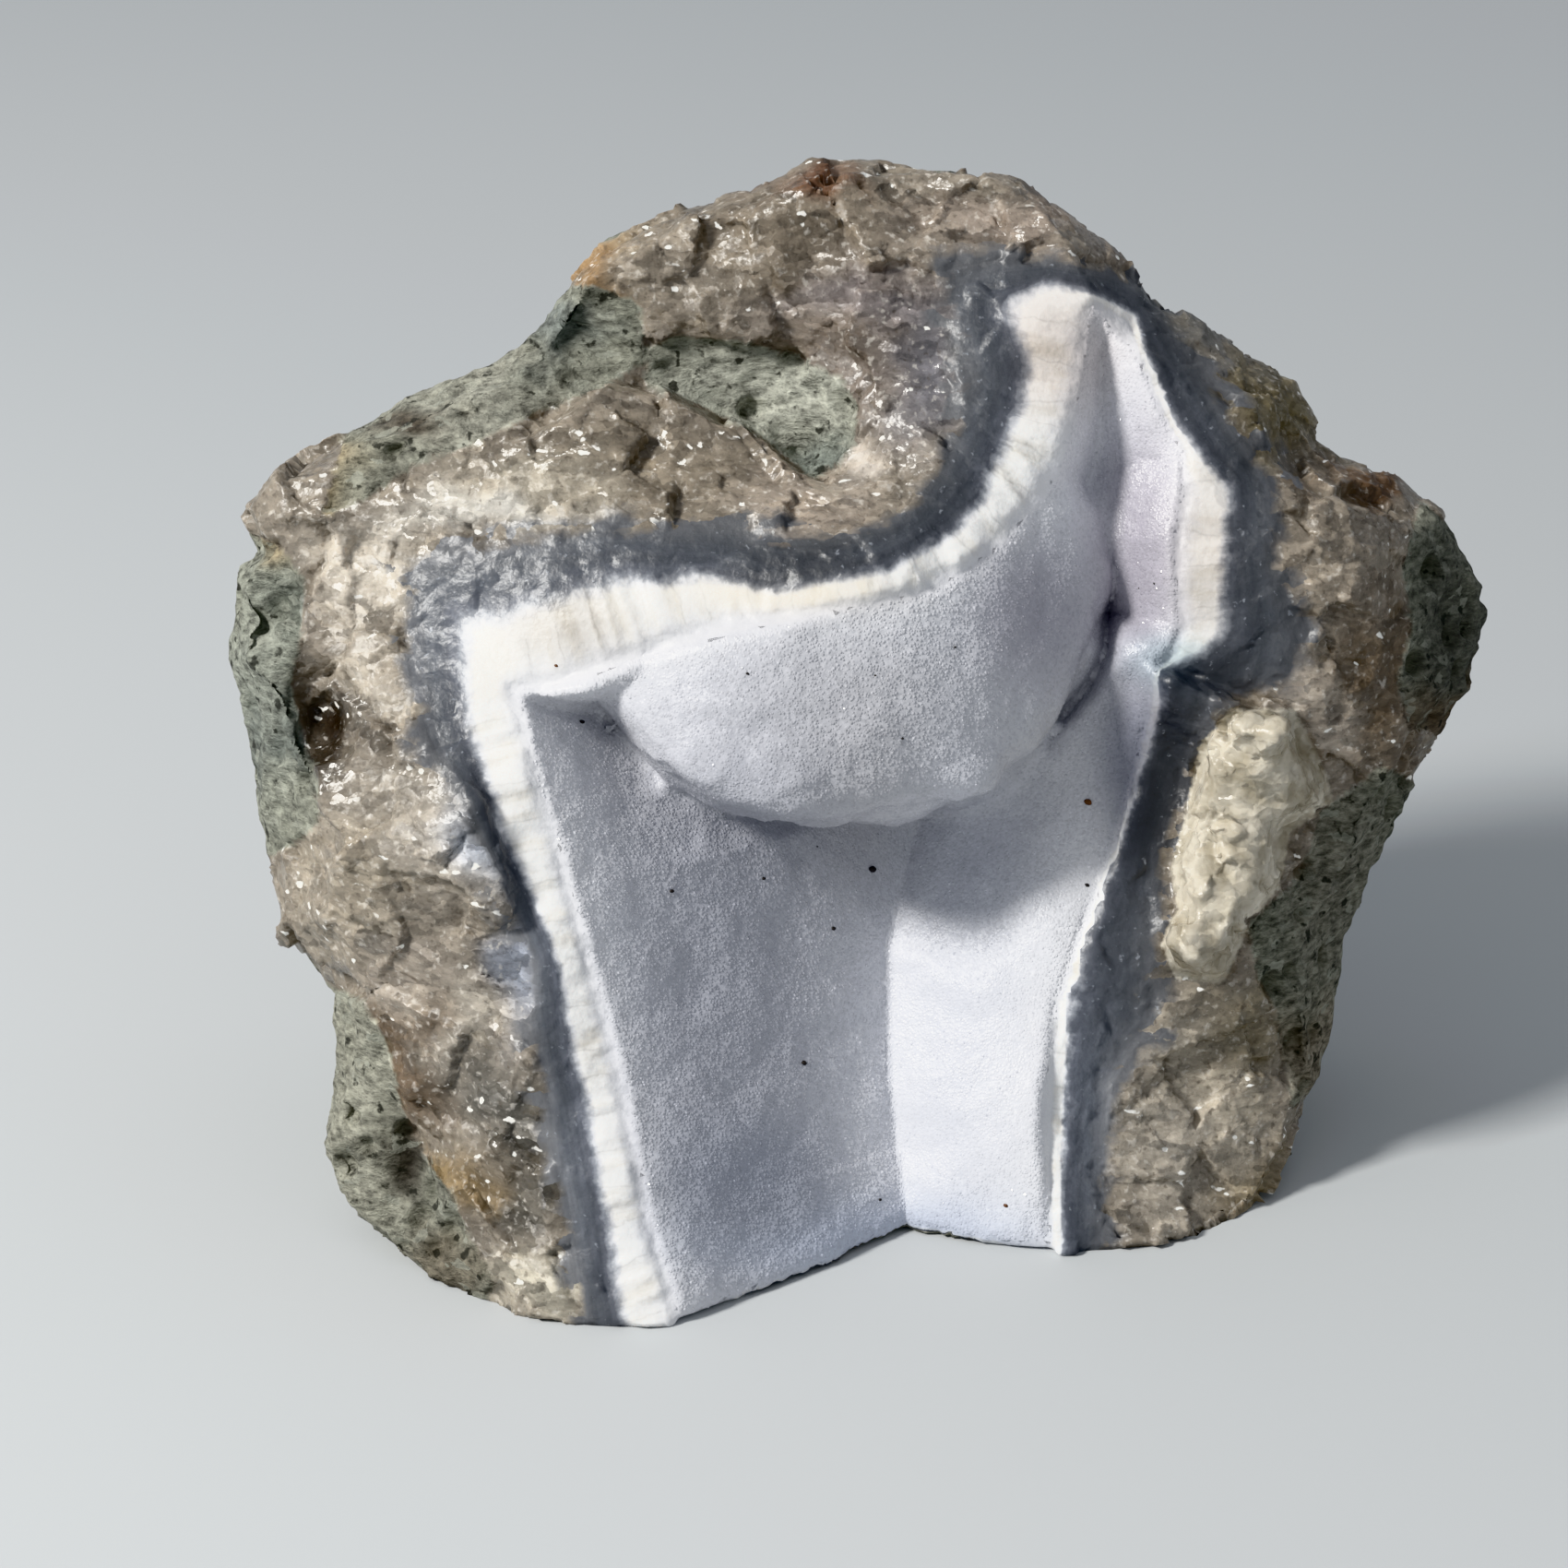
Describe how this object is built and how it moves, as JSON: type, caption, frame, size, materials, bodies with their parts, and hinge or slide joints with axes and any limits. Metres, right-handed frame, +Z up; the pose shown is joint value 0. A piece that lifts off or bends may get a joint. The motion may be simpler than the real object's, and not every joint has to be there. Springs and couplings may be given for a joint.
{
  "type": "blue lace agate geode specimen",
  "caption": "Broken chunk of geode standing on its base: banded white and blue-grey chalcedony round an open hollow lined with pale lilac druse, in a quartz and basalt rind.",
  "frame": {"origin": "middle of the footprint's bounding box, on the surface that the stone stands on", "axes": "+Z up, +X to the right along the broken face, the face and its hollow look towards -Y"},
  "size_m": [0.1138, 0.0598, 0.0899],
  "materials": {
    "banded_stone": "broken chalcedony and quartz with a rough basalt rind, waxy to matt",
    "druse_quartz": "sugary crust of tiny quartz crystals, pale lilac, sparkling"
  },
  "bodies": {
    "root": {"stone": "banded_stone", "druse_crust": "druse_quartz"}
  },
  "joints": []
}
